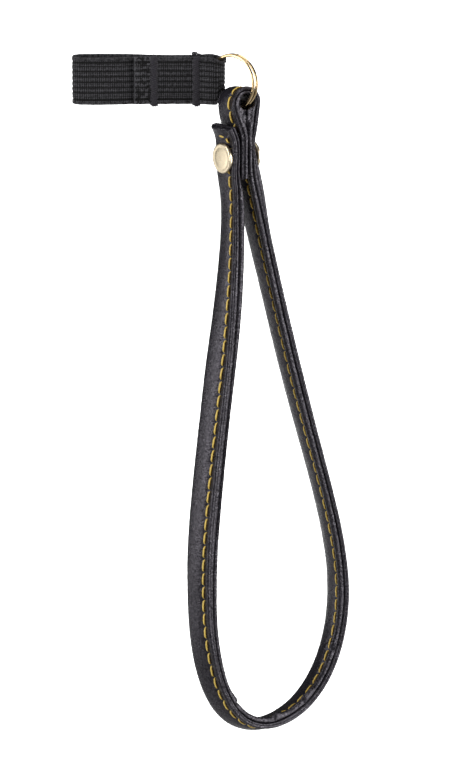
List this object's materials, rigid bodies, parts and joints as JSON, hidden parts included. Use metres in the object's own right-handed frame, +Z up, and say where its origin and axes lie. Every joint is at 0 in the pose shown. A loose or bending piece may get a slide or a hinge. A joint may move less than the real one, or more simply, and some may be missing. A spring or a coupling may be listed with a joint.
{
  "type": "riding crop wrist loop",
  "caption": "Padded leather wrist strap hanging from a split ring in a sewn elastic loop that slips round a riding crop, its ends clamped by a Chicago screw.",
  "frame": {"origin": "middle of the elastic crop loop, halfway up the band", "axes": "X along the elastic band towards the ring, +Z up and along the crop's shaft through the loop, -Y the band's front; the strap hangs down -Z in a plane turned 36 degrees about Z"},
  "size_m": [0.0957, 0.0452, 0.2367],
  "materials": {
    "elastic": "ribbed woven elastic, matte",
    "black_thread": "dense black thread",
    "gold_wire": "polished pale gold plate",
    "black_leather": "smooth black leather, satin",
    "padding": "felt padding, hidden",
    "yellow_thread": "thick yellow stitching thread",
    "gold_screw": "brushed champagne gold plate with a polished rim"
  },
  "bodies": {
    "band": {"elastic_band": "elastic", "crop_bartack": "black_thread", "ring_bartack": "black_thread"},
    "ring": {"split_ring": "gold_wire"},
    "strap": {"strap_cover": "black_leather", "strap_filler": "padding", "needle_thread": "yellow_thread", "bobbin_thread": "yellow_thread"},
    "post": {"screw_post": "gold_screw"},
    "screw": {"screw_cap": "gold_screw"}
  },
  "joints": [
    {"name": "ring_swing", "type": "hinge", "parent": "band", "child": "ring", "pos_m": [0.033, 0.0012, 0.0006], "axis": [0, 0, 1], "range_deg": [-30, 15]},
    {"name": "strap_swing", "type": "hinge", "parent": "ring", "child": "strap", "pos_m": [0.04167, -0.00533, -0.0066], "axis": [-0.5878, 0.809, 0], "range_deg": [-60, 60]},
    {"name": "screw_turn", "type": "hinge", "parent": "strap", "child": "screw", "pos_m": [0.04518, -0.00277, -0.0249], "axis": [0.809, 0.5878, 0], "range_deg": [0, 2160]},
    {"name": "post_back_off", "type": "slide", "parent": "strap", "child": "post", "axis": [-0.809, -0.5878, 0], "range_m": [0, 0.003]}
  ],
  "couplings": [
    {"joint": "screw_turn", "follows": "post_back_off", "rad_per_m": 12566}
  ]
}
